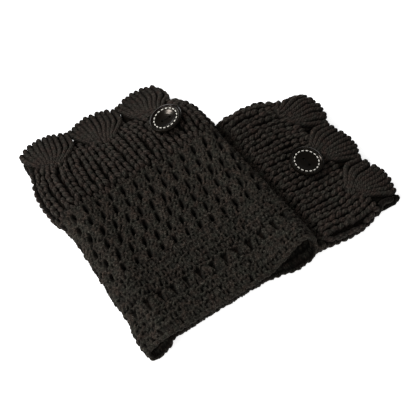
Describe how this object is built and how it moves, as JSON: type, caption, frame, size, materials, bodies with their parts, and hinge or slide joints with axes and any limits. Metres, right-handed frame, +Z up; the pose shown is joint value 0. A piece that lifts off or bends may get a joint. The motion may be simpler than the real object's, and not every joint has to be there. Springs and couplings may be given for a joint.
{
  "type": "pair of crochet leg warmers",
  "caption": "Short crochet leg warmers laid flat and stacked crosswise, each a knitted tube with an openwork body, a fanned cable band and a round button.",
  "frame": {"origin": "middle of the pair's bounding box, on the surface that the pair lies on", "axes": "+X along the rear cuff from its hem towards its fans, +Y along the front cuff from its hem towards its fans, +Z up from the surface that the pair lies on"},
  "size_m": [0.2363, 0.2102, 0.0327],
  "materials": {
    "charcoal_yarn_hem": "matte heathered charcoal yarn, dense crochet rows",
    "charcoal_yarn_openwork": "matte heathered charcoal yarn, fluffy openwork crochet",
    "charcoal_yarn_band": "matte charcoal yarn, chunky plaited ribs",
    "black_button": "glossy black with a ring of pale dashes"
  },
  "bodies": {
    "root": {"front_hem_border": "charcoal_yarn_hem", "front_openwork_tube": "charcoal_yarn_openwork", "front_cable_band": "charcoal_yarn_band", "front_button": "black_button", "rear_hem_border": "charcoal_yarn_hem", "rear_openwork_tube": "charcoal_yarn_openwork", "rear_cable_band": "charcoal_yarn_band", "rear_button": "black_button"}
  },
  "joints": []
}
